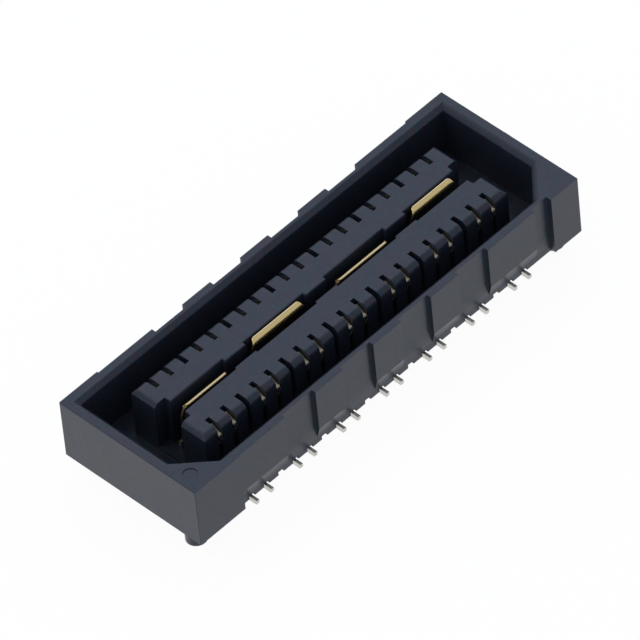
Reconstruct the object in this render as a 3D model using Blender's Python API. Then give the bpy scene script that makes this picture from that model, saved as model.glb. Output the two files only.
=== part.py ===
"""Board to board connector, 0.8 mm pitch: the socket half, with a sprung ground strip along its middle.

One moulded housing holds two tongues. Each tongue has a row of contact slots on its outer side, of which
every third is left empty, so the contacts stand in pairs. A stamped ground strip stands in the channel
between the tongues. X runs along the rows, Z is the mating direction, and the seating plane is Z = 0.
"""
import math

import bmesh
import bpy
from mathutils import Vector

# Housing, outside
BODY_LENGTH = 0.02127
BODY_WIDTH = 0.00722
BODY_HEIGHT = 0.00295
CORNER_RADIUS = 0.00016
CORNER_STEPS = 4

# Long sides: end blocks, then a slightly lower face with recesses in it
FACE_SETBACK = 0.00007
NEAR_LEFT_BLOCK = 0.00245
NEAR_RIGHT_BLOCK = 0.00151
FAR_BLOCK = 0.00208
RECESS_COUNT = 4
RECESS_PITCH = 0.0032
RECESS_WIDTH = 0.00166
RECESS_DEPTH = 0.0002
RECESS_RAMP_TOP = 0.00095
RECESS_RAMP_SLOPE = 0.1
KEY_RECESS_WIDTH = 0.00087
TOE_TOP = 0.00086
TOE_HEIGHT = 0.00034
TOE_SETBACK = 0.00014

# Mating cavity
END_WALL = 0.000585
SIDE_WALL = 0.00061
LEAD_IN = 0.0002
POLARISING_CUT = 0.00133
CAVITY_FLOOR = 0.00045

# Tongues
TONGUE_LENGTH = 0.01682
TONGUE_SPAN = 0.00394
TONGUE_TOP = 0.00295
TONGUE_EDGE_RADIUS = 0.0003
TONGUE_EDGE_STEPS = 4
TONGUE_END_CHAMFER = 0.00017

# Channel between the tongues
CHANNEL_FLOOR = 0.00061
CHANNEL_NEAR = 0.0003
CHANNEL_FAR = 0.00022
POCKET_WIDTH = 0.00078
INNER_POCKET_CENTRE = 0.00222
INNER_POCKET_LENGTH = 0.0033
OUTER_POCKET_CENTRE = 0.00644
OUTER_POCKET_LENGTH = 0.00284
END_NOTCH_WIDTH = 0.0014

# Contact rows
PITCH = 0.0008
POSITIONS = 20
EMPTY_EVERY = 3
SLOT_WIDTH = 0.00022
SLOT_ROOT = 0.001285
FLOOR_HOLE_REACH = 0.00008
TAIL_GROOVE_WIDTH = 0.0003
TAIL_GROOVE_HEIGHT = 0.00017

# Signal contact: a strip folded in the plane across the rows
CONTACT_CLEARANCE = 0.00002
CONTACT_THICKNESS = 0.00015
STEM_OFFSET = 0.0016
STEM_BEND_RADIUS = 0.0005
SPRING_LEAN = math.radians(25)
CROWN_RADIUS = 0.0002
CROWN_REACH = -0.000035
CROWN_HEIGHT = 0.00235
CROWN_END = math.radians(65)
TIP_LENGTH = 0.00042
TAIL_DROP = 0.000045
TAIL_REACH = 0.00371
TAIL_BEND_RADIUS = 0.00013

# Ground strip
GROUND_THICKNESS = 0.00012
GROUND_CLEARANCE = 0.00002
GROUND_CENTRE = 0.000065
WEB_HEIGHT = 0.00032
WEB_MARGIN = -0.00005
FINGER_GAP = 0.00033
FINGER_OFFSET = 0.000083
FINGER_JOG = math.radians(20)
FINGER_JOG_RADIUS = 0.0003
FINGER_TOP = 0.00288
FLARE_RADIUS = 0.00025
FLARE_ANGLE = math.radians(50)
LIP_LENGTH = 0.00013
FINGER_CORNER = 0.00014
FINGER_CORNER_STEPS = 4
FINGER_SPREAD = math.radians(24)
FINGER_SPREAD_HEIGHT = 0.00055
TAB_WIDTH = 0.0009
TAB_REACH = 0.0007
TAB_BEND_RADIUS = 0.00012
TAB_SLOT_CLEARANCE = 0.00003
TAB_POCKET_DEPTH = 0.00012

# Alignment pegs, pin one dimple and gate mark
PEG_RADIUS = 0.000445
PEG_LENGTH = 0.0009
PEG_CHAMFER = 0.0001
PEG_FROM_END = 0.00066
PEG_FROM_SIDE = 0.00096
PEG_SIDES = 48
DIMPLE_RADIUS = 0.00031
DIMPLE_DEPTH = 0.00006
DIMPLE_FROM_END = 0.0006
DIMPLE_FROM_SIDE = 0.00083
DIMPLE_SIDES = 36
GATE_WIDTH = 0.00028
GATE_PROUD = 0.00003
GATE_HEIGHT = 0.0007
GATE_OFFSET = 0.00015

# How far a cutter runs past the face that it opens, and a joined piece into its neighbour
OVERRUN = 0.0003

HALF_LENGTH = BODY_LENGTH / 2
HALF_WIDTH = BODY_WIDTH / 2
FACE_Y = HALF_WIDTH - FACE_SETBACK
CAVITY_HALF_LENGTH = HALF_LENGTH - END_WALL
CAVITY_HALF_WIDTH = HALF_WIDTH - SIDE_WALL
TONGUE_HALF = TONGUE_SPAN / 2
TONGUE_END = TONGUE_LENGTH / 2
CONTACT_WIDTH = SLOT_WIDTH - 2 * CONTACT_CLEARANCE
OUTER_POCKET_END = OUTER_POCKET_CENTRE + OUTER_POCKET_LENGTH / 2
POCKETS = (
    (-OUTER_POCKET_CENTRE, OUTER_POCKET_LENGTH, -1),
    (-INNER_POCKET_CENTRE, INNER_POCKET_LENGTH, 1),
    (INNER_POCKET_CENTRE, INNER_POCKET_LENGTH, -1),
    (OUTER_POCKET_CENTRE, OUTER_POCKET_LENGTH, 1),
)


def clear_scene():
    for item in list(bpy.data.objects):
        bpy.data.objects.remove(item, do_unlink=True)


def make_material(name, colour, roughness, metallic):
    material = bpy.data.materials.new(name)
    material.use_nodes = True
    shader = material.node_tree.nodes["Principled BSDF"]
    shader.inputs["Base Color"].default_value = (*colour, 1.0)
    shader.inputs["Roughness"].default_value = roughness
    shader.inputs["Metallic"].default_value = metallic
    material.diffuse_color = (*colour, 1.0)
    return material


def add_object(name, bm, material=None):
    """Turns a bmesh into a scene object, with its faces pointing out."""
    bmesh.ops.recalc_face_normals(bm, faces=bm.faces)
    mesh = bpy.data.meshes.new(name)
    bm.to_mesh(mesh)
    bm.free()
    item = bpy.data.objects.new(name, mesh)
    bpy.context.scene.collection.objects.link(item)
    if material:
        mesh.materials.append(material)
    return item


def add_cutter(name, bm):
    item = add_object(name, bm)
    item.display_type = "WIRE"
    item.hide_render = True
    return item


def combine(target, tool, operation):
    step = target.modifiers.new(tool.name, "BOOLEAN")
    step.operation = operation
    step.object = tool
    step.solver = "EXACT"


def extrude_outline(bm, points, direction):
    """Makes a closed solid from a flat outline of 3D points, pushed along a direction."""
    face = bm.faces.new([bm.verts.new(point) for point in points])
    moved = bmesh.ops.extrude_face_region(bm, geom=[face])
    tips = [part for part in moved["geom"] if isinstance(part, bmesh.types.BMVert)]
    bmesh.ops.translate(bm, verts=tips, vec=direction)


def add_box(bm, low, high):
    points = [(low[0], low[1], low[2]), (high[0], low[1], low[2]), (high[0], high[1], low[2]), (low[0], high[1], low[2])]
    extrude_outline(bm, points, (0, 0, high[2] - low[2]))


def arc_points(centre, radius, start, end, steps):
    """Points on an arc in a plane, from one angle to another, both ends included."""
    angles = [start + (end - start) * step / steps for step in range(steps + 1)]
    return [(centre[0] + radius * math.cos(a), centre[1] + radius * math.sin(a)) for a in angles]


def rounded_body_outline():
    """Plan of the body: end blocks at full width, and the long faces between them set back a little."""
    right, left = HALF_LENGTH, -HALF_LENGTH
    inner_x, inner_y = HALF_LENGTH - CORNER_RADIUS, HALF_WIDTH - CORNER_RADIUS
    quarter = math.pi / 2
    points = arc_points((-inner_x, -inner_y), CORNER_RADIUS, 2 * quarter, 3 * quarter, CORNER_STEPS)
    points += [(left + NEAR_LEFT_BLOCK, -HALF_WIDTH), (left + NEAR_LEFT_BLOCK, -FACE_Y)]
    points += [(right - NEAR_RIGHT_BLOCK, -FACE_Y), (right - NEAR_RIGHT_BLOCK, -HALF_WIDTH)]
    points += arc_points((inner_x, -inner_y), CORNER_RADIUS, 3 * quarter, 4 * quarter, CORNER_STEPS)
    points += arc_points((inner_x, inner_y), CORNER_RADIUS, 0, quarter, CORNER_STEPS)
    points += [(right - FAR_BLOCK, HALF_WIDTH), (right - FAR_BLOCK, FACE_Y)]
    points += [(left + FAR_BLOCK, FACE_Y), (left + FAR_BLOCK, HALF_WIDTH)]
    points += arc_points((-inner_x, inner_y), CORNER_RADIUS, quarter, 2 * quarter, CORNER_STEPS)
    return points


def slot_positions():
    """X of every slot in a row, with its number from 1 at the -X end and whether it holds a contact."""
    first = -PITCH * (POSITIONS - 1) / 2
    return [(number, first + PITCH * (number - 1), number % EMPTY_EVERY != 0) for number in range(1, POSITIONS + 1)]


def recess_cutters():
    """Open recesses down each long face, whose floors ramp out again near the seating plane."""
    bm = bmesh.new()
    floor = FACE_Y - RECESS_DEPTH
    run_down = RECESS_RAMP_TOP + OVERRUN
    outside = HALF_WIDTH + OVERRUN
    top = BODY_HEIGHT + OVERRUN
    profile = [(floor, top), (floor, RECESS_RAMP_TOP), (floor + RECESS_RAMP_SLOPE * run_down, -OVERRUN)]
    profile += [(outside, -OVERRUN), (outside, top)]
    middle = (RECESS_COUNT - 1) / 2
    spans = []
    for index in range(RECESS_COUNT):
        centre = RECESS_PITCH * (index - middle)
        spans += [(side, centre - RECESS_WIDTH / 2, RECESS_WIDTH) for side in (-1, 1)]
    key_end = HALF_LENGTH - NEAR_RIGHT_BLOCK
    spans.append((-1, key_end - KEY_RECESS_WIDTH, KEY_RECESS_WIDTH))
    for side, start, width in spans:
        extrude_outline(bm, [(start, side * y, z) for y, z in profile], (width, 0, 0))
    return add_cutter("recess_cutter", bm)


def toe_cutters():
    """Below the end blocks' level the long faces slope in to a narrow foot."""
    bm = bmesh.new()
    foot = FACE_Y - TOE_SETBACK
    slope = TOE_SETBACK / (TOE_TOP - TOE_HEIGHT)
    outside = HALF_WIDTH + OVERRUN
    profile = [(foot, -OVERRUN), (foot, TOE_HEIGHT), (outside, TOE_HEIGHT + (outside - foot) / slope), (outside, -OVERRUN)]
    near_start = -HALF_LENGTH + NEAR_LEFT_BLOCK
    near_length = BODY_LENGTH - NEAR_LEFT_BLOCK - NEAR_RIGHT_BLOCK
    far_start = -HALF_LENGTH + FAR_BLOCK
    extrude_outline(bm, [(near_start, -y, z) for y, z in profile], (near_length, 0, 0))
    extrude_outline(bm, [(far_start, y, z) for y, z in profile], (BODY_LENGTH - 2 * FAR_BLOCK, 0, 0))
    return add_cutter("toe_cutter", bm)


def cavity_cutter():
    """The mating cavity: two corners cut at 45 degrees, and a lead-in all round its mouth."""
    bm = bmesh.new()
    top = BODY_HEIGHT + OVERRUN
    levels = [(CAVITY_FLOOR, 0), (BODY_HEIGHT - LEAD_IN, 0), (top, LEAD_IN + OVERRUN)]
    rings = []
    for height, grow in levels:
        long, wide = CAVITY_HALF_LENGTH + grow, CAVITY_HALF_WIDTH + grow
        cut = POLARISING_CUT + grow * (2 - math.sqrt(2))
        plan = [(-long, -wide + cut), (-long + cut, -wide), (long - cut, -wide), (long, -wide + cut), (long, wide)]
        plan.append((-long, wide))
        rings.append([bm.verts.new((x, y, height)) for x, y in plan])
    for lower, upper in zip(rings, rings[1:]):
        for index in range(len(lower)):
            following = (index + 1) % len(lower)
            bm.faces.new((lower[index], lower[following], upper[following], upper[index]))
    bm.faces.new(rings[0])
    bm.faces.new(rings[-1])
    return add_cutter("cavity_cutter", bm)


def tongue_block():
    """Both tongues as one bar, rounded along its outer edges and chamfered at its ends."""
    bm = bmesh.new()
    inner, corner = TONGUE_HALF - TONGUE_EDGE_RADIUS, TONGUE_TOP - TONGUE_EDGE_RADIUS
    quarter = math.pi / 2
    root = CAVITY_FLOOR - OVERRUN / 2
    profile = [(-TONGUE_HALF, root), (TONGUE_HALF, root)]
    profile += arc_points((inner, corner), TONGUE_EDGE_RADIUS, 0, quarter, TONGUE_EDGE_STEPS)
    profile += arc_points((-inner, corner), TONGUE_EDGE_RADIUS, quarter, 2 * quarter, TONGUE_EDGE_STEPS)
    extrude_outline(bm, [(-TONGUE_END, y, z) for y, z in profile], (TONGUE_LENGTH, 0, 0))
    for side in (-1, 1):
        parts = bm.verts[:] + bm.edges[:] + bm.faces[:]
        edge = Vector((side * (TONGUE_END - TONGUE_END_CHAMFER), 0, TONGUE_TOP))
        cut = bmesh.ops.bisect_plane(bm, geom=parts, dist=1e-7, plane_co=edge, plane_no=(side, 0, 1), clear_outer=True)
        rim = [part for part in cut["geom_cut"] if isinstance(part, bmesh.types.BMEdge)]
        bmesh.ops.contextual_create(bm, geom=rim)
    return add_cutter("tongue_block", bm)


def channel_cutter():
    """The stepped channel between the tongues, drawn from the middle to one end and mirrored to the other."""
    bm = bmesh.new()
    wide, notch = POCKET_WIDTH / 2, END_NOTCH_WIDTH / 2
    inner_start, inner_end = (INNER_POCKET_CENTRE + sign * INNER_POCKET_LENGTH / 2 for sign in (-1, 1))
    outer_start = OUTER_POCKET_CENTRE - OUTER_POCKET_LENGTH / 2
    end = TONGUE_END + OVERRUN
    plan = []
    for side, narrow in ((1, CHANNEL_FAR), (-1, CHANNEL_NEAR)):
        steps = [(inner_start, narrow, wide), (inner_end, wide, narrow), (outer_start, narrow, wide)]
        steps.append((OUTER_POCKET_END, wide, notch))
        run = [(x, half) for x, before, after in steps for half in (before, after)] + [(end, notch)]
        bank = [(-x, half) for x, half in reversed(run)] + run
        plan += [(side * x, side * half) for x, half in bank]
    height = TONGUE_TOP + OVERRUN - CHANNEL_FLOOR
    extrude_outline(bm, [(x, y, CHANNEL_FLOOR) for x, y in plan], (0, 0, height))
    return add_cutter("channel_cutter", bm)


def slot_cutters():
    """Contact slots through tongue and floor, slots for the ground tabs, and the dimple by pin one."""
    bm = bmesh.new()
    reach = TONGUE_HALF + FLOOR_HOLE_REACH
    top = TONGUE_TOP + OVERRUN
    for _, x, _ in slot_positions():
        for side in (-1, 1):
            low, high = sorted((side * SLOT_ROOT, side * reach))
            add_box(bm, (x - SLOT_WIDTH / 2, low, -OVERRUN), (x + SLOT_WIDTH / 2, high, top))
    half_slot = GROUND_THICKNESS / 2 + TAB_SLOT_CLEARANCE
    half_tab = TAB_WIDTH / 2 + TAB_SLOT_CLEARANCE
    for centre, _, _ in POCKETS:
        low = (centre - half_tab, GROUND_CENTRE - half_slot, -OVERRUN)
        add_box(bm, low, (centre + half_tab, GROUND_CENTRE + half_slot, CHANNEL_FLOOR + OVERRUN))
    centre = (-HALF_LENGTH + DIMPLE_FROM_END, -HALF_WIDTH + DIMPLE_FROM_SIDE)
    ring = arc_points(centre, DIMPLE_RADIUS, 0, 2 * math.pi, DIMPLE_SIDES)[:-1]
    extrude_outline(bm, [(x, y, BODY_HEIGHT - DIMPLE_DEPTH) for x, y in ring], (0, 0, DIMPLE_DEPTH + OVERRUN))
    return add_cutter("slot_cutter", bm)


def groove_cutters():
    """Grooves under the floor for the contact tails, and pockets for the feet of the ground tabs."""
    bm = bmesh.new()
    outside = HALF_WIDTH + OVERRUN
    for _, x, _ in slot_positions():
        for side in (-1, 1):
            low, high = sorted((side * SLOT_ROOT, side * outside))
            half = TAIL_GROOVE_WIDTH / 2
            add_box(bm, (x - half, low, -OVERRUN), (x + half, high, TAIL_GROOVE_HEIGHT))
    half_tab = TAB_WIDTH / 2 + 2 * TAB_SLOT_CLEARANCE
    back = GROUND_THICKNESS / 2 + 2 * TAB_SLOT_CLEARANCE
    front = TAB_REACH + 2 * TAB_SLOT_CLEARANCE
    for centre, _, side in POCKETS:
        low, high = sorted((GROUND_CENTRE - side * back, GROUND_CENTRE + side * front))
        add_box(bm, (centre - half_tab, low, -OVERRUN), (centre + half_tab, high, TAB_POCKET_DEPTH))
    return add_cutter("groove_cutter", bm)


def peg_solids():
    """Two round pegs, with chamfered tips, under the near corners, and the gate mark on the right end."""
    bm = bmesh.new()
    for side in (-1, 1):
        centre = Vector((side * (HALF_LENGTH - PEG_FROM_END), -HALF_WIDTH + PEG_FROM_SIDE, 0))
        levels = [(OVERRUN, PEG_RADIUS), (PEG_CHAMFER - PEG_LENGTH, PEG_RADIUS), (-PEG_LENGTH, PEG_RADIUS - PEG_CHAMFER)]
        rings = []
        for height, radius in levels:
            ring = arc_points(centre.xy, radius, 0, 2 * math.pi, PEG_SIDES)[:-1]
            rings.append([bm.verts.new((x, y, height)) for x, y in ring])
        for upper, lower in zip(rings, rings[1:]):
            for index in range(PEG_SIDES):
                following = (index + 1) % PEG_SIDES
                bm.faces.new((upper[index], upper[following], lower[following], lower[index]))
        bm.faces.new(rings[0])
        bm.faces.new(rings[-1])
    face = HALF_LENGTH - OVERRUN
    low = (face, GATE_OFFSET - GATE_WIDTH / 2, BODY_HEIGHT - DIMPLE_DEPTH - GATE_HEIGHT)
    add_box(bm, low, (HALF_LENGTH + GATE_PROUD, GATE_OFFSET + GATE_WIDTH / 2, BODY_HEIGHT - DIMPLE_DEPTH))
    return add_cutter("peg_and_gate_solids", bm)


def build_housing(material):
    bm = bmesh.new()
    extrude_outline(bm, [(x, y, 0) for x, y in rounded_body_outline()], (0, 0, BODY_HEIGHT))
    housing = add_object("housing", bm, material)
    combine(housing, toe_cutters(), "DIFFERENCE")
    combine(housing, recess_cutters(), "DIFFERENCE")
    combine(housing, cavity_cutter(), "DIFFERENCE")
    combine(housing, tongue_block(), "UNION")
    combine(housing, channel_cutter(), "DIFFERENCE")
    combine(housing, slot_cutters(), "DIFFERENCE")
    combine(housing, groove_cutters(), "DIFFERENCE")
    combine(housing, peg_solids(), "UNION")
    return housing


class FoldLine:
    """The side view of a bent strip: where each length along it goes, worked out run by run.

    A point is (across, height). The heading is measured from straight up towards +across.
    """

    def __init__(self, across, height, heading):
        self.stations = [(0.0, (across, height), (math.cos(heading), -math.sin(heading)))]
        self.heading = heading

    def straight(self, length):
        travelled, (across, height), normal = self.stations[-1]
        end = (across + length * math.sin(self.heading), height + length * math.cos(self.heading))
        self.stations.append((travelled + length, end, normal))

    def bend(self, radius, angle, steps):
        travelled, (across, height), _ = self.stations[-1]
        sense = math.copysign(1, angle)
        centre = (across + sense * radius * math.cos(self.heading), height - sense * radius * math.sin(self.heading))
        for step in range(1, steps + 1):
            heading = self.heading + angle * step / steps
            normal = (math.cos(heading), -math.sin(heading))
            point = (centre[0] - sense * radius * normal[0], centre[1] - sense * radius * normal[1])
            self.stations.append((travelled + abs(radius * angle) * step / steps, point, normal))
        self.heading += angle

    def length(self):
        return self.stations[-1][0]

    def place(self, travelled, offset):
        """The point at a length along the strip, offset to the side by part of its thickness."""
        last = len(self.stations) - 2
        for index, (before, after) in enumerate(zip(self.stations, self.stations[1:])):
            if travelled <= after[0] or index == last:
                share = (travelled - before[0]) / (after[0] - before[0])
                start = [p + offset * n for p, n in zip(before[1], before[2])]
                end = [p + offset * n for p, n in zip(after[1], after[2])]
                return [a + (b - a) * share for a, b in zip(start, end)]


def slice_blank(bm, lengths):
    """Cuts a flat blank, which stands along Z, at each of its fold stations."""
    for length in lengths:
        parts = bm.verts[:] + bm.edges[:] + bm.faces[:]
        bmesh.ops.bisect_plane(bm, geom=parts, dist=1e-7, plane_co=(0, 0, length), plane_no=(0, 0, 1))


def contact_fold():
    """From the tail's tip under the side wall, in to the stem, up, out along the spring and back in over the crown."""
    outer = TONGUE_HALF + CROWN_REACH
    crown_centre = outer - CROWN_RADIUS
    fold = FoldLine(TAIL_REACH, -TAIL_DROP, -math.pi / 2)
    fold.straight(TAIL_REACH - STEM_OFFSET - TAIL_BEND_RADIUS)
    fold.bend(TAIL_BEND_RADIUS, math.pi / 2, 4)
    lean = (math.sin(SPRING_LEAN), math.cos(SPRING_LEAN))
    bend_end = STEM_OFFSET + STEM_BEND_RADIUS * (1 - lean[1])
    spring_end = crown_centre + CROWN_RADIUS * lean[1]
    spring = (spring_end - bend_end) / lean[0]
    bend_height = CROWN_HEIGHT - (CROWN_RADIUS + STEM_BEND_RADIUS) * lean[0] - spring * lean[1]
    fold.straight(bend_height - TAIL_BEND_RADIUS + TAIL_DROP)
    fold.bend(STEM_BEND_RADIUS, SPRING_LEAN, 3)
    fold.straight(spring)
    fold.bend(CROWN_RADIUS, -SPRING_LEAN - CROWN_END, 8)
    fold.straight(TIP_LENGTH)
    return fold


def contact_mesh(material):
    fold = contact_fold()
    bm = bmesh.new()
    half = CONTACT_THICKNESS / 2
    add_box(bm, (-CONTACT_WIDTH / 2, -half, 0), (CONTACT_WIDTH / 2, half, fold.length()))
    slice_blank(bm, [station[0] for station in fold.stations[1:-1]])
    for vert in bm.verts:
        across, height = fold.place(vert.co.z, vert.co.y)
        vert.co = (vert.co.x, across, height)
    bmesh.ops.recalc_face_normals(bm, faces=bm.faces)
    mesh = bpy.data.meshes.new("contact")
    bm.to_mesh(mesh)
    bm.free()
    mesh.materials.append(material)
    return mesh


def build_contacts(material):
    """One object for each loaded slot. The near row is the far row turned half way round."""
    mesh = contact_mesh(material)
    for row, turn in (("near", math.pi), ("far", 0.0)):
        for number, x, loaded in slot_positions():
            if not loaded:
                continue
            contact = bpy.data.objects.new(f"contact_{row}_{number:02d}", mesh)
            contact.location = (x, 0, 0)
            contact.rotation_euler = (0, 0, turn)
            bpy.context.scene.collection.objects.link(contact)


def finger_fold():
    """A ground finger above the web: a small jog to its side, a straight stem, and a lip flared the same way."""
    lift = CHANNEL_FLOOR + GROUND_CLEARANCE + WEB_HEIGHT
    fold = FoldLine(0, lift, 0)
    bends = 2 * FINGER_JOG_RADIUS * (1 - math.cos(FINGER_JOG))
    fold.bend(FINGER_JOG_RADIUS, FINGER_JOG, 2)
    fold.straight((FINGER_OFFSET - bends) / math.sin(FINGER_JOG))
    fold.bend(FINGER_JOG_RADIUS, -FINGER_JOG, 2)
    reached = fold.stations[-1][1][1]
    flare = FLARE_RADIUS * math.sin(FLARE_ANGLE) + LIP_LENGTH * math.cos(FLARE_ANGLE)
    fold.straight(FINGER_TOP - flare - reached)
    fold.bend(FLARE_RADIUS, FLARE_ANGLE, 6)
    fold.straight(LIP_LENGTH)
    return fold


def tab_fold():
    """A ground tab below the web: down through the floor, and out flat along the board."""
    lift = CHANNEL_FLOOR + GROUND_CLEARANCE
    fold = FoldLine(0, lift, math.pi)
    fold.straight(lift + TAIL_DROP - TAB_BEND_RADIUS)
    fold.bend(TAB_BEND_RADIUS, -math.pi / 2, 4)
    fold.straight(TAB_REACH - TAB_BEND_RADIUS)
    return fold


def ground_blank(finger_length, tab_length):
    """The flat comb that the ground strip is stamped as: web, four tapered fingers up and four tabs down."""
    end = OUTER_POCKET_END - WEB_MARGIN
    lower, upper = [(-end, 0.0)], []
    top = WEB_HEIGHT + finger_length
    for centre, pocket, _ in POCKETS:
        lower += [(centre - TAB_WIDTH / 2, 0.0), (centre - TAB_WIDTH / 2, -tab_length)]
        lower += [(centre + TAB_WIDTH / 2, -tab_length), (centre + TAB_WIDTH / 2, 0.0)]
        half = pocket / 2 - FINGER_GAP
        corner = (half - FINGER_CORNER, top - FINGER_CORNER)
        flank = arc_points(corner, FINGER_CORNER, math.pi / 2, FINGER_SPREAD, FINGER_CORNER_STEPS)
        foot = flank[-1][0] + FINGER_SPREAD_HEIGHT * math.tan(FINGER_SPREAD)
        flank += [(foot, flank[-1][1] - FINGER_SPREAD_HEIGHT), (foot, WEB_HEIGHT)]
        upper += [(centre - x, length) for x, length in reversed(flank)]
        upper += [(centre + x, length) for x, length in flank]
    upper = [(-end, WEB_HEIGHT)] + upper + [(end, WEB_HEIGHT)]
    return lower + [(end, 0.0)] + list(reversed(upper))


def build_ground_strip(material):
    finger, tab = finger_fold(), tab_fold()
    bm = bmesh.new()
    half = GROUND_THICKNESS / 2
    outline = ground_blank(finger.length(), tab.length())
    extrude_outline(bm, [(x, -half, length) for x, length in outline], (0, GROUND_THICKNESS, 0))
    slice_blank(bm, [WEB_HEIGHT + station[0] for station in finger.stations[:-1]])
    slice_blank(bm, [-station[0] for station in tab.stations[:-1]])
    lift = CHANNEL_FLOOR + GROUND_CLEARANCE
    for vert in bm.verts:
        x, offset, length = vert.co
        side = min(POCKETS, key=lambda pocket: abs(pocket[0] - x))[2]
        if length > WEB_HEIGHT:
            across, height = finger.place(length - WEB_HEIGHT, side * offset)
            vert.co = (x, GROUND_CENTRE + side * across, height)
        elif length < 0:
            across, height = tab.place(-length, -side * offset)
            vert.co = (x, GROUND_CENTRE + side * across, height)
        else:
            vert.co = (x, GROUND_CENTRE + offset, lift + length)
    return add_object("ground_strip", bm, material)


def main():
    clear_scene()
    plastic = make_material("dark_moulded_plastic", (0.045, 0.055, 0.07), 0.55, 0.0)
    gold = make_material("gold_plate", (0.83, 0.66, 0.36), 0.28, 1.0)
    build_housing(plastic)
    build_contacts(gold)
    build_ground_strip(gold)


main()
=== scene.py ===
"""Dresses the board to board connector: a dark moulded socket with gold contacts and a sprung ground strip.

It is laid out as an add-on with one operator for each group of pieces, and run as a script. Every piece is
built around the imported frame, in metres, with X along the contact rows and Z the way the mating half leaves.
"""
import math

import bmesh
import bpy
from mathutils import Matrix, Vector


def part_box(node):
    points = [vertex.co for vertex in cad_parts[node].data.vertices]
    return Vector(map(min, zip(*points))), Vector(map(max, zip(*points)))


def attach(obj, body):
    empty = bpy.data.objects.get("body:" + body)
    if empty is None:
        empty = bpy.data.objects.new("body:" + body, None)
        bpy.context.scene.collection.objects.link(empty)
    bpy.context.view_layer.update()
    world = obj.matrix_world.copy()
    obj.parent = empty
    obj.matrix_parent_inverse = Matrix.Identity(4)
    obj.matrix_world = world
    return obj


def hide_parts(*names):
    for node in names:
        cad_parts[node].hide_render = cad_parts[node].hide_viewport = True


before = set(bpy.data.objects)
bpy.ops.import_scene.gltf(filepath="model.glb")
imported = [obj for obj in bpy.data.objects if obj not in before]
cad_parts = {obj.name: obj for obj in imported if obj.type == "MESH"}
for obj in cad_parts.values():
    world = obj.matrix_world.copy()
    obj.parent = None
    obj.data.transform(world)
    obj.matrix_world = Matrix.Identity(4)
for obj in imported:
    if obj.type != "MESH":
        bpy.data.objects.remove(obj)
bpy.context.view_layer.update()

bl_info = {
    "name": "Board to board connector",
    "version": (1, 0, 0),
    "blender": (4, 5, 0),
    "location": "3D View > Sidebar > Connector",
    "description": "Builds the looks of a fine pitch connector around its packed solids",
    "category": "Object",
}

BODY = "root"

# How a solid's triangles become one clean mesh, and which of its edges are rounded or kept as lines.
MERGE_DISTANCE = 1e-7
ON_PLANE = 1e-6
FLAT_ANGLE = math.radians(0.5)
SMOOTH_ANGLE = math.radians(32)
CREASE_ANGLE = math.radians(8)
LEAD_IN_ANGLE = math.radians(60)
NARROW_FACE = 0.00014

# Where the housing's features lie in its solid, which the rounding has to find again.
CORNER_ZONE = 0.000161
DIMPLE_FLOOR = (0.00005, 0.00007)
DIMPLE_PLACE = (-0.0096, -0.0024)
MOUTH_END = 0.0004
MOUTH_HALF_WIDTH = 0.00325

# How quickly one finish gives way to the next, and the painted highlight along the ground strip's top edge comes in,
# as a share of the change in each metre.
PLATING_FADE = 9000.0
TOP_HIGHLIGHT_FADE = 30000.0
TIN_WANDER = 0.00012
THIN_WANDER = 0.00006
TIN_ROUGHNESS = 0.40

PAPER = (0.86, 0.86, 0.86, 1.0)
PAPER_GLOW = 1.035
PAPER_GLOW_SHARE = 0.92
SURROUND = (0.94, 0.98, 1.08, 1.0)
OVERHEAD_SHARE = 0.94
HORIZON_FALL = 2.5


class ConnectorSizes(bpy.types.PropertyGroup):
    """Sizes of what the scene adds to the solids, all of them small."""

    moulded_edge: bpy.props.FloatProperty(
        name="Moulded edge", description="Radius of the housing's edges", default=0.000025, unit="LENGTH")
    mouth_edge: bpy.props.FloatProperty(
        name="Mouth edge", description="Radius of the edges that guide the mating half in", default=0.000055,
        unit="LENGTH")
    lead_in_edge: bpy.props.FloatProperty(
        name="Lead-in edge", description="Radius that softens both edges of the lead-ins", default=0.0001,
        unit="LENGTH")
    mouth_depth: bpy.props.FloatProperty(
        name="Mouth depth", description="How far down the guiding edges reach", default=0.00045, unit="LENGTH")
    corner_edge: bpy.props.FloatProperty(
        name="Corner edge", description="Radius of the housing's four upright corners", default=0.00003,
        unit="LENGTH")
    dimple_depth: bpy.props.FloatProperty(
        name="Dimple depth", description="Depth of the mark beside the first contact", default=0.000035,
        unit="LENGTH")
    stamped_edge: bpy.props.FloatProperty(
        name="Stamped edge", description="Radius of the metal's cut edges", default=0.000015, unit="LENGTH")
    lip_edge: bpy.props.FloatProperty(
        name="Lip edge", description="Radius of the cut edges on the lips of the ground strip", default=0.000056,
        unit="LENGTH")
    lip_level: bpy.props.FloatProperty(
        name="Lip level", description="Height from which the ground strip's edges are rounder", default=0.00272,
        unit="LENGTH")
    bend_steps: bpy.props.IntProperty(
        name="Bend steps", description="Steps in each quarter turn of a contact's bends", default=14, min=3)


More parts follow.
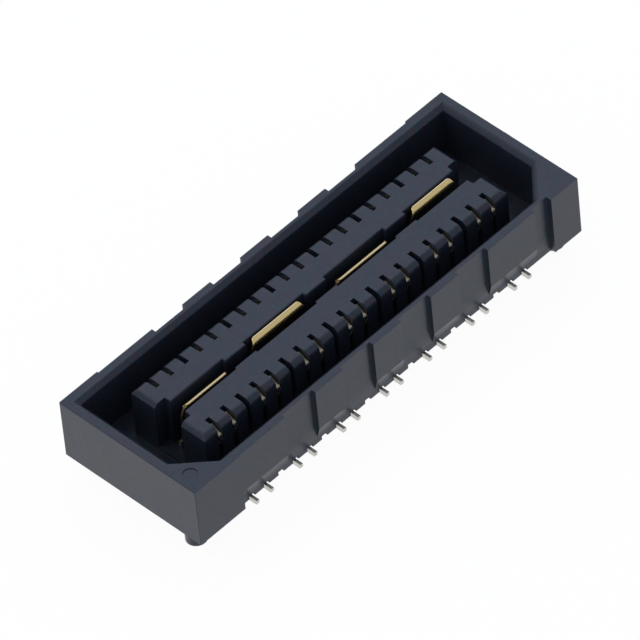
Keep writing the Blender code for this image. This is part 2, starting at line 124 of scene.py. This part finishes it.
class ConnectorContact(bpy.types.PropertyGroup):
    """The fold of a signal contact, seen from the side, with its middle plane as the line."""

    width: bpy.props.FloatProperty(name="Width", description="Width of the strip", default=0.00018, unit="LENGTH")
    thickness: bpy.props.FloatProperty(
        name="Thickness", description="Thickness of the strip", default=0.00015, unit="LENGTH")
    foot_width: bpy.props.FloatProperty(
        name="Foot width", description="Width of the upset foot", default=0.00014, unit="LENGTH")
    foot_thickness: bpy.props.FloatProperty(
        name="Foot thickness", description="Thickness of the upset foot", default=0.00025, unit="LENGTH")
    foot_sink: bpy.props.FloatProperty(
        name="Foot sink", description="How far the upset foot's middle lies under the strip's", default=0.000035,
        unit="LENGTH")
    toe: bpy.props.FloatProperty(
        name="Toe", description="Length of the rounding under the foot's tip", default=0.00009, unit="LENGTH")
    tail_reach: bpy.props.FloatProperty(
        name="Tail reach", description="From the middle of the part to the foot's tip", default=0.00371, unit="LENGTH")
    tail_drop: bpy.props.FloatProperty(
        name="Tail drop", description="How far the foot lies under the seat", default=0.000045, unit="LENGTH")
    tail_bend: bpy.props.FloatProperty(
        name="Tail bend", description="Radius from the foot up to the stem", default=0.00013, unit="LENGTH")
    stem_offset: bpy.props.FloatProperty(
        name="Stem offset", description="From the middle of the part to the stem", default=0.0016, unit="LENGTH")
    stem_bend: bpy.props.FloatProperty(
        name="Stem bend", description="Radius from the stem to the spring", default=0.0005, unit="LENGTH")
    lean: bpy.props.FloatProperty(
        name="Lean", description="Angle of the spring off the stem", default=math.radians(25), unit="ROTATION")
    crown_radius: bpy.props.FloatProperty(
        name="Crown radius", description="Radius of the knee that touches the mating half", default=0.0002,
        unit="LENGTH")
    crown_across: bpy.props.FloatProperty(
        name="Crown across", description="From the middle of the part to the knee's centre", default=0.001735,
        unit="LENGTH")
    crown_height: bpy.props.FloatProperty(
        name="Crown height", description="Height of the knee's centre", default=0.00235, unit="LENGTH")
    crown_end: bpy.props.FloatProperty(
        name="Crown end", description="How far past upright the knee goes", default=math.radians(65), unit="ROTATION")
    tip: bpy.props.FloatProperty(
        name="Tip", description="Straight run from the knee to the free end", default=0.00042, unit="LENGTH")


class ConnectorFinish(bpy.types.PropertyGroup):
    """Colours and surface values of the moulding and of the metal."""

    moulding: bpy.props.FloatVectorProperty(
        name="Moulding", description="Colour of the dark moulded plastic", subtype="COLOR", size=3,
        default=(0.020, 0.025, 0.039))
    moulding_sheen: bpy.props.FloatVectorProperty(
        name="Moulding gloss", description="Colour that the moulding's gloss gives to what it mirrors",
        subtype="COLOR", size=3, default=(0.88, 0.93, 1.0))
    moulding_roughness: bpy.props.FloatProperty(
        name="Moulding roughness", description="Mean roughness of the moulding", default=0.34, min=0, max=1)
    gold: bpy.props.FloatVectorProperty(
        name="Gold", description="Colour of the ground strip's plating", subtype="COLOR", size=3,
        default=(1.0, 0.77, 0.33))
    # Painted highlight: the contact zone is made brighter and whiter round a spring's knee, where its glint falls, on
    # top of its own plating.
    contact_zone_and_glint: bpy.props.FloatVectorProperty(
        name="Contact zone", description="Colour of the plating where a spring touches the mating half",
        subtype="COLOR", size=3, default=(0.64, 0.62, 0.55))
    # Painted shade: the strip above the knee is partly a duller plating and partly darkened for the dark it mirrors in
    # its slot.
    underplate_and_shade: bpy.props.FloatVectorProperty(
        name="Underplate", description="Colour of a spring above its contact zone", subtype="COLOR", size=3,
        default=(0.50, 0.43, 0.29))
    # The line is set where the painted highlight at the knee gives way to the painted shade above it.
    glint_zone_line: bpy.props.FloatProperty(
        name="Zone line", description="Height at which a spring's contact zone ends", default=0.00250, unit="LENGTH")
    # Thin gold under the lips: darker partly for thinner plating and partly as painted shade down the stems in their
    # pockets.
    thin_gold_and_shade: bpy.props.FloatVectorProperty(
        name="Thin gold", description="Colour of the ground strip under its gilded fingers", subtype="COLOR", size=3,
        default=(0.38, 0.29, 0.18))
    # The line is set so that the darker thin gold, partly painted shade, covers the stems and tails under the lips.
    gilding_and_shade_line: bpy.props.FloatProperty(
        name="Gilding line", description="Height at which the ground strip's full gilding starts", default=0.0027,
        unit="LENGTH")
    # Painted highlight: a paler gold along the top cut edge of the ground strip's fingers, where the upturned edge
    # catches the light.
    top_edge_highlight: bpy.props.FloatVectorProperty(
        name="Bare edge", description="Colour of the cut edge along the top of the ground strip's fingers",
        subtype="COLOR", size=3, default=(0.74, 0.60, 0.37))
    # Height from which the painted highlight along the top edge is laid on.
    top_highlight_line: bpy.props.FloatProperty(
        name="Bare line", description="Height at which that cut edge starts", default=0.00289, unit="LENGTH")
    tin: bpy.props.FloatVectorProperty(
        name="Tin", description="Colour of the tinned feet", subtype="COLOR", size=3, default=(0.64, 0.63, 0.59))
    plating_line: bpy.props.FloatProperty(
        name="Plating line", description="Height at which tin gives way to gold", default=0.0009, unit="LENGTH")


class ConnectorStage(bpy.types.PropertyGroup):
    """The camera, the floor and the light."""

    camera_place: bpy.props.FloatVectorProperty(
        name="Camera place", description="Where the camera stands", subtype="TRANSLATION", size=3,
        default=(-0.193264, -0.215210, 0.312426))
    camera_angles: bpy.props.FloatVectorProperty(
        name="Camera angles", description="How the camera is turned about X, Y and Z", subtype="EULER", size=3,
        default=(math.radians(42.7504), math.radians(4.1025), math.radians(-46.3247)))
    lens: bpy.props.FloatProperty(
        name="Lens", description="Focal length in millimetres on a 36 mm sensor", default=622.62, min=1)
    floor_gap: bpy.props.FloatProperty(
        name="Floor gap", description="Space between the pegs and the floor", default=0.00002, unit="LENGTH")
    floor_reach: bpy.props.FloatProperty(
        name="Floor reach", description="Half of the floor's width", default=1.5, unit="LENGTH")
    world_light: bpy.props.FloatProperty(
        name="World light", description="Strength of the even light from all round", default=0.505, min=0)
    horizon_light: bpy.props.FloatProperty(
        name="Horizon light", description="Extra light from low down, as a share of the world light", default=1.1,
        min=0)
    key_place: bpy.props.FloatVectorProperty(
        name="Key place", description="Where the broad lamp stands, above and behind, to the right",
        subtype="TRANSLATION", size=3, default=(0.0705, 0.0786, 0.1135))
    key_size: bpy.props.FloatProperty(
        name="Key size", description="Width of the broad lamp", default=0.13, unit="LENGTH")
    key_power: bpy.props.FloatProperty(
        name="Key power", description="Power of the broad lamp", default=0.0345, min=0)
    glint_place: bpy.props.FloatVectorProperty(
        name="Glint place", description="Where the small lamp stands, above and behind, to the left",
        subtype="TRANSLATION", size=3, default=(-0.0675, 0.0525, 0.1200))
    glint_size: bpy.props.FloatProperty(
        name="Glint size", description="Width of the small lamp", default=0.045, unit="LENGTH")
    glint_power: bpy.props.FloatProperty(
        name="Glint power", description="Power of the small lamp", default=0.016, min=0)


class Socket:
    """One output of a material's nodes, or a plain value, that takes part in arithmetic."""

    def __init__(self, tree, value):
        self.tree = tree
        self.value = value

    def node(self, kind, settings=None, inputs=None, output=0):
        """Adds a node, gives it its settings first and then its inputs, and returns one of its outputs."""
        made = self.tree.nodes.new(kind)
        for key, setting in (settings or {}).items():
            if key == "stops":
                for place, (position, colour) in enumerate(setting):
                    elements = made.color_ramp.elements
                    stop = elements[place] if place < len(elements) else elements.new(position)
                    stop.position = position
                    stop.color = colour
            else:
                setattr(made, key, setting)
        for key, given in (inputs or {}).items():
            if isinstance(given, Socket):
                given = given.value
            if isinstance(given, bpy.types.NodeSocket):
                self.tree.links.new(given, made.inputs[key])
            else:
                made.inputs[key].default_value = given
        return Socket(self.tree, made.outputs[output])

    def maths(self, operation, *others):
        """Joins this socket and other sockets or values by a Math node."""
        return self.node("ShaderNodeMath", {"operation": operation}, dict(enumerate([self, *others])))

    def __add__(self, other):
        return self.maths("ADD", other)

    def __radd__(self, other):
        return self.maths("ADD", other)

    def __mul__(self, other):
        return self.maths("MULTIPLY", other)

    def __rmul__(self, other):
        return self.maths("MULTIPLY", other)

    def __sub__(self, other):
        return self.maths("SUBTRACT", other)

    def __rsub__(self, other):
        return Socket(self.tree, other).maths("SUBTRACT", self)

    def clamped(self):
        """Keeps the value between 0 and 1."""
        return self.node("ShaderNodeClamp", None, {0: self})

    def spread(self, contrast):
        """Spreads a noise about its middle by a contrast, and keeps it between 0 and 1."""
        return (0.5 + contrast * (self - 0.5)).clamped()

    def axis(self, number):
        """One of the three parts of a vector, with 0 for X."""
        return self.node("ShaderNodeSeparateXYZ", None, {0: self}, number)


def new_material(name):
    """A material with its shader, and the object coordinates that its patterns read."""
    material = bpy.data.materials.new(name)
    material.use_nodes = True
    shader = material.node_tree.nodes["Principled BSDF"]
    start = Socket(material.node_tree, None)
    place = start.node("ShaderNodeTexCoord", None, None, "Object")
    return material, shader, place


def feed(shader, name, socket):
    """Links a socket into a named input of a shader."""
    socket.tree.links.new(socket.value, shader.inputs[name])


def mix_colour(factor, first, second):
    """Blends two colours by a factor, through a Mix node."""
    return factor.node("ShaderNodeMix", {"data_type": "RGBA"}, {0: factor, 6: first, 7: second}, 2)


def noise(place, scale, detail=2.0, roughness=0.5, stretch=None):
    """Noise on object coordinates; scale counts its lumps in each metre."""
    if stretch:
        place = place.node("ShaderNodeMapping", None, {"Vector": place, "Scale": stretch})
    return place.node("ShaderNodeTexNoise", None, {"Vector": place, "Scale": scale, "Detail": detail,
                                                   "Roughness": roughness})


def rgba(colour, factor=1.0):
    """A colour made brighter or darker by a factor, with full alpha."""
    return (*[channel * factor for channel in colour], 1.0)


def moulding_material(finish):
    """Dark filled plastic off a fine spark-eroded tool: a matt grain, and soft clouds from the flow."""
    material, shader, place = new_material("moulding_finish")
    clouds = noise(place, scale=900.0, detail=3.0)
    grain = noise(place, scale=26000.0, detail=3.0, roughness=0.6)
    streaks = noise(place, scale=5000.0, stretch=(0.25, 1.0, 1.0))
    blotches = noise(place, scale=2600.0).spread(4.5)
    specks = noise(place, scale=8000.0).spread(3.0)
    red, green, blue = finish.moulding
    cool = (0.3 * red, 1.15 * green, 1.1 * blue, 1)
    warm = (1.7 * red, 0.8 * green, 0.9 * blue, 1)
    pale, dark = rgba(finish.moulding, 1.35), rgba(finish.moulding, 0.45)
    light = mix_colour(clouds, mix_colour(blotches, cool, warm), pale)
    feed(shader, "Base Color", mix_colour(0.45 * specks, light, dark))
    shader.inputs["Specular Tint"].default_value = rgba(finish.moulding_sheen)
    shader.inputs["IOR"].default_value = 1.46
    feed(shader, "Roughness", finish.moulding_roughness - 0.11 + 0.10 * clouds + 0.12 * streaks)
    bump = grain.node("ShaderNodeBump", None, {"Strength": 0.5, "Distance": 0.0000012, "Height": grain})
    feed(shader, "Normal", bump)
    return material


def plating_material(finish, name, plating, thin, line, sense, roughness, thin_roughness):
    """Bright plating on one side of a line, thin plating past it and tin on the feet, over drawn strip.

    The sense is 1 where the thin plating lies above the line, and -1 where it lies below. The thin plating is
    duller on the pieces of the near half. On the springs the bright plating at the knee is partly a painted
    highlight, and the thin plating above it is partly painted shade. On the ground strip the thin gold under the
    lips is partly painted shade, and a paler painted highlight runs along the top edge of the fingers.
    """
    material, shader, place = new_material(name)
    height = place.axis(2)
    wander = noise(place, scale=9000.0)
    edge = height + TIN_WANDER * wander - (finish.plating_line + TIN_WANDER / 2)
    gilded = (0.5 + PLATING_FADE * edge).clamped()
    mottle = noise(place, scale=6000.0, detail=3.0)
    # The bright plating, which on the springs is partly a painted highlight at the knee.
    bright = mix_colour(mottle, rgba(plating, 0.93), rgba(plating, 1.06))
    # Past the line lies the thin plating, partly painted shade: above a spring's knee, and down the ground strip under
    # its lips.
    past = (0.5 + PLATING_FADE * sense * (height + THIN_WANDER * wander - (line + THIN_WANDER / 2))).clamped()
    bright = mix_colour(past, bright, rgba(thin))
    # Painted highlight along the top edge of the ground strip's fingers.
    top_highlight = (0.5 + TOP_HIGHLIGHT_FADE * (height - finish.top_highlight_line)).clamped()
    bright = mix_colour(top_highlight, bright, rgba(finish.top_edge_highlight))
    tin = mix_colour(mottle, rgba(finish.tin, 0.85), rgba(finish.tin, 1.1))
    feed(shader, "Base Color", mix_colour(gilded, tin, bright))
    shader.inputs["Metallic"].default_value = 1.0
    near = (0.5 - PLATING_FADE * place.axis(1)).clamped()
    plated = roughness + (thin_roughness - roughness) * (past * near)
    feed(shader, "Roughness", TIN_ROUGHNESS + (plated - TIN_ROUGHNESS) * gilded + 0.10 * mottle)
    drawn = noise(place, scale=30000.0, stretch=(1.0, 0.12, 0.12))
    bump = drawn.node("ShaderNodeBump", None, {"Strength": 0.4, "Distance": 0.0000008, "Height": drawn})
    feed(shader, "Normal", bump)
    return material


def merged_copy(node):
    """A node's mesh with its loose triangles joined and its flat faces made whole."""
    bm = bmesh.new()
    bm.from_mesh(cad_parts[node].data)
    bmesh.ops.remove_doubles(bm, verts=bm.verts, dist=MERGE_DISTANCE)
    bmesh.ops.dissolve_limit(bm, angle_limit=FLAT_ANGLE, verts=bm.verts, edges=bm.edges)
    return bm


def round_edges(bm, radius, segments, keep=lambda edge: True, room=2.4):
    """Rounds the sharp edges that have room for it on every side, counted in radii."""
    shortest = room * radius
    cramped = {vert for edge in bm.edges if edge.calc_length() < shortest for vert in edge.verts}
    sharp = [edge for edge in bm.edges
             if edge.is_manifold and edge.calc_face_angle() > SMOOTH_ANGLE
             and not cramped.intersection(edge.verts) and keep(edge)]
    bmesh.ops.bevel(bm, geom=sharp, offset=radius, offset_type="OFFSET", segments=segments, profile=0.5,
                    affect="EDGES", clamp_overlap=room > 0, material=-1)


def square_corners(bm, half_length, half_width):
    """Draws the housing's upright corners out square, to be rounded again more finely."""
    for vert in bm.verts:
        x, y, height = vert.co
        if abs(x) > half_length - CORNER_ZONE and abs(y) > half_width - CORNER_ZONE:
            vert.co = (math.copysign(half_length, x), math.copysign(half_width, y), height)
    bmesh.ops.remove_doubles(bm, verts=bm.verts, dist=MERGE_DISTANCE)


def lift_dimple(bm, top, depth):
    """Brings the floor of the round mark up to its depth under the rim."""
    shallow, deep = DIMPLE_FLOOR
    for vert in bm.verts:
        x, y, height = vert.co
        if top - deep < height < top - shallow and x < DIMPLE_PLACE[0] and y < DIMPLE_PLACE[1]:
            vert.co.z = top - depth


def find_creases(bm):
    """The edges where two broad faces meet at a real line, and their run on across narrow roundings."""
    longest = {face: max(side.calc_length() for side in face.edges) for face in bm.faces}
    broad = {face for face in bm.faces if face.calc_area() > NARROW_FACE * longest[face]}
    angles = {edge: edge.calc_face_angle() if edge.is_manifold else math.pi for edge in bm.edges}
    creases = {edge for edge, angle in angles.items()
               if angle > SMOOTH_ANGLE or angle > CREASE_ANGLE and broad.issuperset(edge.link_faces)}
    reached = [edge for edge in creases if angles[edge] < SMOOTH_ANGLE]
    while reached:
        ends = reached.pop().verts
        for edge in {other for vert in ends for other in vert.link_edges} - creases:
            across = not any(face in broad or edge.calc_length() > 0.5 * longest[face] for face in edge.link_faces)
            if across and angles[edge] > CREASE_ANGLE / 4:
                creases.add(edge)
                reached.append(edge)
    return creases


def finish_piece(name, bm, material, slot, *nodes):
    """Makes the finished piece from its mesh: smooth where it bends, true where it is flat."""
    creases = find_creases(bm)
    for edge in bm.edges:
        edge.smooth = edge not in creases
    for face in bm.faces:
        face.smooth = True
    mesh = bpy.data.meshes.new(name)
    bm.to_mesh(mesh)
    bm.free()
    mesh.materials.append(material)
    piece = bpy.data.objects.new(name, mesh)
    bpy.context.scene.collection.objects.link(piece)
    normals = piece.modifiers.new("flat_faces", "WEIGHTED_NORMAL")
    normals.keep_sharp = True
    normals.weight = 100
    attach(piece, BODY)
    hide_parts(*nodes)
    return piece


class FoldLine:
    """The side view of a bent strip: where each length along it goes, worked out run by run.

    A point is (across, height). The heading is measured from straight up towards +across.
    """

    def __init__(self, across, height, heading, quarter_steps):
        self.stations = [(0.0, (across, height), (math.cos(heading), -math.sin(heading)))]
        self.heading = heading
        self.quarter_steps = quarter_steps

    def straight(self, length):
        travelled, (across, height), normal = self.stations[-1]
        end = (across + length * math.sin(self.heading), height + length * math.cos(self.heading))
        self.stations.append((travelled + length, end, normal))

    def bend(self, radius, angle):
        travelled, (across, height), _ = self.stations[-1]
        sense = math.copysign(1, angle)
        centre = (across + sense * radius * math.cos(self.heading), height - sense * radius * math.sin(self.heading))
        steps = math.ceil(self.quarter_steps * abs(angle) / (math.pi / 2))
        for step in range(1, steps + 1):
            heading = self.heading + angle * step / steps
            normal = (math.cos(heading), -math.sin(heading))
            point = (centre[0] - sense * radius * normal[0], centre[1] - sense * radius * normal[1])
            self.stations.append((travelled + abs(radius * angle) * step / steps, point, normal))
        self.heading += angle

    def place(self, travelled, offset):
        """The point at a length along the strip, offset to the side by part of its thickness."""
        last = len(self.stations) - 2
        for index, (before, after) in enumerate(zip(self.stations, self.stations[1:])):
            if travelled <= after[0] or index == last:
                share = (travelled - before[0]) / (after[0] - before[0])
                start = [p + offset * n for p, n in zip(before[1], before[2])]
                end = [p + offset * n for p, n in zip(after[1], after[2])]
                return [a + (b - a) * share for a, b in zip(start, end)]


def contact_fold(contact, quarter_steps):
    """From the foot's tip in to the stem, up, out along the spring and back in over the knee."""
    fold = FoldLine(contact.tail_reach, -contact.tail_drop, -math.pi / 2, quarter_steps)
    fold.straight(contact.tail_reach - contact.stem_offset - contact.tail_bend)
    fold.bend(contact.tail_bend, math.pi / 2)
    out, up = math.sin(contact.lean), math.cos(contact.lean)
    bend_end = contact.stem_offset + contact.stem_bend * (1 - up)
    spring = (contact.crown_across + contact.crown_radius * up - bend_end) / out
    bend_height = contact.crown_height - (contact.crown_radius + contact.stem_bend) * out - spring * up
    fold.straight(bend_height - contact.tail_bend + contact.tail_drop)
    fold.bend(contact.stem_bend, contact.lean)
    fold.straight(spring)
    fold.bend(contact.crown_radius, -contact.lean - contact.crown_end)
    fold.straight(contact.tip)
    return fold


def folded_contact(contact, sizes):
    """The flat blank with its cut edges rounded, sliced at every bend and folded."""
    fold = contact_fold(contact, sizes.bend_steps)
    length = fold.stations[-1][0]
    bm = bmesh.new()
    box = Matrix.Translation((0, 0, length / 2)) @ Matrix.Diagonal((contact.width, contact.thickness, length, 1))
    bmesh.ops.create_cube(bm, size=1.0, matrix=box)
    toe = [edge for edge in bm.edges if all(vert.co.z < MERGE_DISTANCE and vert.co.y < 0 for vert in edge.verts)]
    bmesh.ops.bevel(bm, geom=toe, offset=contact.toe, offset_type="OFFSET", segments=5, profile=0.5,
                    affect="EDGES", clamp_overlap=True, material=-1)
    cut = [edge for edge in bm.edges if edge.calc_face_angle() > SMOOTH_ANGLE]
    bmesh.ops.bevel(bm, geom=cut, offset=sizes.stamped_edge, offset_type="OFFSET", segments=3, profile=0.5,
                    affect="EDGES", clamp_overlap=True, material=-1)
    for station in fold.stations[1:-1]:
        parts = bm.verts[:] + bm.edges[:] + bm.faces[:]
        bmesh.ops.bisect_plane(bm, geom=parts, dist=1e-8, plane_co=(0, 0, station[0]), plane_no=(0, 0, 1))
    foot_end, bend_end = fold.stations[1][0], fold.stations[1][0] + contact.tail_bend * math.pi / 2
    for vert in bm.verts:
        upset = min(1.0, max(0.0, (bend_end - vert.co.z) / (bend_end - foot_end)))
        widened = 1 + upset * (contact.foot_width / contact.width - 1)
        thickened = 1 + upset * (contact.foot_thickness / contact.thickness - 1)
        across, height = fold.place(vert.co.z, thickened * vert.co.y - upset * contact.foot_sink)
        vert.co = (widened * vert.co.x, across, height)
    bmesh.ops.recalc_face_normals(bm, faces=bm.faces)
    return bm


class CONNECTOR_OT_housing(bpy.types.Operator):
    """Build the moulded housing with its edges rounded as the tool leaves them"""

    bl_idname = "connector.housing"
    bl_label = "Housing"

    def execute(self, context):
        sizes = context.scene.connector_sizes
        bm = merged_copy("housing")
        low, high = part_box("housing")
        rim, reach = high.z - sizes.mouth_depth, high.x - MOUTH_END
        square_corners(bm, -low.x, high.y)
        lift_dimple(bm, high.z, sizes.dimple_depth)

        def upright(edge):
            return all(abs(vert.co.x) > -low.x - ON_PLANE and abs(vert.co.y) > high.y - ON_PLANE
                       for vert in edge.verts)

        def in_mouth(edge):
            return all(vert.co.z > rim and abs(vert.co.x) < reach and abs(vert.co.y) < MOUTH_HALF_WIDTH
                       for vert in edge.verts)

        def beside_lead_in(edge):
            return in_mouth(edge) and edge.calc_face_angle() < LEAD_IN_ANGLE

        round_edges(bm, sizes.corner_edge, 4, upright)
        round_edges(bm, sizes.lead_in_edge, 5, beside_lead_in, 1.1)
        round_edges(bm, sizes.mouth_edge, 3, in_mouth)
        round_edges(bm, sizes.moulded_edge, 3)
        material = moulding_material(context.scene.connector_finish)
        finish_piece("housing_moulding", bm, material, "moulding", "housing")
        return {"FINISHED"}


class CONNECTOR_OT_contacts(bpy.types.Operator):
    """Build every folded contact of both rows"""

    bl_idname = "connector.contacts"
    bl_label = "Contacts"

    def execute(self, context):
        finish = context.scene.connector_finish
        # The springs' plating carries a painted highlight at the knee and painted shade above it.
        material = plating_material(finish, "spring_plating", finish.contact_zone_and_glint, finish.underplate_and_shade,
                                    finish.glint_zone_line, sense=1, roughness=0.22, thin_roughness=0.34)
        blank = folded_contact(context.scene.connector_contact, context.scene.connector_sizes)
        nodes = [name for name in sorted(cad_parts) if name.startswith("contact_")]
        if not nodes:
            raise RuntimeError("The frame holds no contacts")
        for node in nodes:
            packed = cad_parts[node]
            along = [(packed.matrix_world @ vert.co).x for vert in packed.data.vertices]
            turn = Matrix.Rotation(math.pi if "_near_" in node else 0.0, 4, "Z")
            bm = blank.copy()
            slot = Matrix.Translation(((min(along) + max(along)) / 2, 0, 0))
            bmesh.ops.transform(bm, verts=bm.verts, matrix=slot @ turn)
            finish_piece(node.replace("contact", "spring"), bm, material, "plating", node)
        blank.free()
        return {"FINISHED"}


class CONNECTOR_OT_ground(bpy.types.Operator):
    """Build the stamped ground strip"""

    bl_idname = "connector.ground"
    bl_label = "Ground strip"

    def execute(self, context):
        sizes = context.scene.connector_sizes
        bm = merged_copy("ground_strip")

        def on_lip(edge):
            return edge.calc_face_angle() > LEAD_IN_ANGLE and all(vert.co.z > sizes.lip_level for vert in edge.verts)

        round_edges(bm, sizes.lip_edge, 5, on_lip, 0)
        round_edges(bm, sizes.stamped_edge, 2)
        finish = context.scene.connector_finish
        # The ground strip's thin gold is partly painted shade under the lips, and its top edge carries a painted
        # highlight.
        material = plating_material(finish, "ground_plating", finish.gold, finish.thin_gold_and_shade,
                                    finish.gilding_and_shade_line, sense=-1, roughness=0.24, thin_roughness=0.42)
        finish_piece("ground_comb", bm, material, "plating", "ground_strip")
        return {"FINISHED"}


def add_lamp(name, place, size, power, colour):
    """Stands a round soft lamp at a place and turns it to the middle of the part."""
    lamp = bpy.data.lights.new(name, "AREA")
    lamp.shape = "DISK"
    lamp.size = size
    lamp.energy = power
    lamp.color = colour
    item = bpy.data.objects.new(name, lamp)
    item.location = place
    item.rotation_euler = (-Vector(place)).to_track_quat("-Z", "Y").to_euler()
    bpy.context.scene.collection.objects.link(item)


def seen_directly(tree):
    """1 for what the camera, a reflection or a clear material sees, and 0 for light that falls on things."""
    start = Socket(tree, None)
    camera = start.node("ShaderNodeLightPath", None, None, "Is Camera Ray")
    glossy = start.node("ShaderNodeLightPath", None, None, "Is Glossy Ray")
    clear = start.node("ShaderNodeLightPath", None, None, "Is Transmission Ray")
    return camera.maths("MAXIMUM", glossy).maths("MAXIMUM", clear)


class CONNECTOR_OT_stage(bpy.types.Operator):
    """Set the camera, the pale floor and the soft light"""

    bl_idname = "connector.stage"
    bl_label = "Stage"

    def execute(self, context):
        stage = context.scene.connector_stage
        self.add_camera(context, stage)
        self.add_floor(context, stage)
        self.add_light(context, stage)
        context.scene.view_settings.view_transform = "Standard"
        return {"FINISHED"}

    def add_camera(self, context, stage):
        camera = bpy.data.cameras.new("camera")
        camera.lens = stage.lens
        camera.sensor_width = 36.0
        camera.clip_start = 0.01
        camera.clip_end = 10.0
        item = bpy.data.objects.new("camera", camera)
        item.location = stage.camera_place
        item.rotation_euler = stage.camera_angles
        context.scene.collection.objects.link(item)
        context.scene.camera = item

    def add_floor(self, context, stage):
        bm = bmesh.new()
        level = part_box("housing")[0].z - stage.floor_gap
        bmesh.ops.create_grid(bm, x_segments=1, y_segments=1, size=stage.floor_reach,
                              matrix=Matrix.Translation((0, 0, level)))
        mesh = bpy.data.meshes.new("floor")
        bm.to_mesh(mesh)
        bm.free()
        material = bpy.data.materials.new("floor_paper")
        material.use_nodes = True
        tree = material.node_tree
        tree.nodes.clear()
        start = Socket(tree, None)
        paper = start.node("ShaderNodeBsdfDiffuse", None, {"Color": PAPER})
        glow = start.node("ShaderNodeEmission", None, {"Color": (1.0, 1.0, 1.0, 1.0), "Strength": PAPER_GLOW})
        share = PAPER_GLOW_SHARE * seen_directly(tree)
        both = start.node("ShaderNodeMixShader", None, {0: share, 1: paper, 2: glow})
        output = tree.nodes.new("ShaderNodeOutputMaterial")
        tree.links.new(both.value, output.inputs["Surface"])
        mesh.materials.append(material)
        floor = bpy.data.objects.new("floor", mesh)
        context.scene.collection.objects.link(floor)

    def add_light(self, context, stage):
        world = bpy.data.worlds.new("soft_surround")
        context.scene.world = world
        world.use_nodes = True
        surround = world.node_tree.nodes["Background"]
        surround.inputs["Color"].default_value = SURROUND
        around = Socket(world.node_tree, None).node("ShaderNodeTexCoord", None, None, "Generated")
        low = (1.0 - HORIZON_FALL * around.axis(2).maths("ABSOLUTE")).clamped()
        feed(surround, "Strength", stage.world_light * (OVERHEAD_SHARE + stage.horizon_light * low))
        add_lamp("key", stage.key_place, stage.key_size, stage.key_power, (0.90, 0.98, 1.20))
        add_lamp("glint", stage.glint_place, stage.glint_size, stage.glint_power, (1.0, 1.0, 1.0))


class CONNECTOR_PT_panel(bpy.types.Panel):
    """Lists the steps that build the connector and its stage"""

    bl_idname = "CONNECTOR_PT_panel"
    bl_label = "Connector"
    bl_space_type = "VIEW_3D"
    bl_region_type = "UI"
    bl_category = "Connector"

    def draw(self, context):
        for operator in OPERATORS:
            self.layout.operator(operator.bl_idname)
        for title, kind in GROUPS.items():
            box = self.layout.box()
            for name in kind.__annotations__:
                box.prop(getattr(context.scene, title), name)


GROUPS = {
    "connector_sizes": ConnectorSizes,
    "connector_contact": ConnectorContact,
    "connector_finish": ConnectorFinish,
    "connector_stage": ConnectorStage,
}
OPERATORS = (CONNECTOR_OT_housing, CONNECTOR_OT_contacts, CONNECTOR_OT_ground, CONNECTOR_OT_stage)


def register():
    for kind in (*GROUPS.values(), *OPERATORS, CONNECTOR_PT_panel):
        bpy.utils.register_class(kind)
    for name, kind in GROUPS.items():
        setattr(bpy.types.Scene, name, bpy.props.PointerProperty(type=kind))


def unregister():
    for name in GROUPS:
        delattr(bpy.types.Scene, name)
    for kind in (CONNECTOR_PT_panel, *reversed(OPERATORS), *GROUPS.values()):
        bpy.utils.unregister_class(kind)


def main():
    register()
    bpy.ops.connector.housing()
    bpy.ops.connector.contacts()
    bpy.ops.connector.ground()
    bpy.ops.connector.stage()


if __name__ == "__main__":
    main()
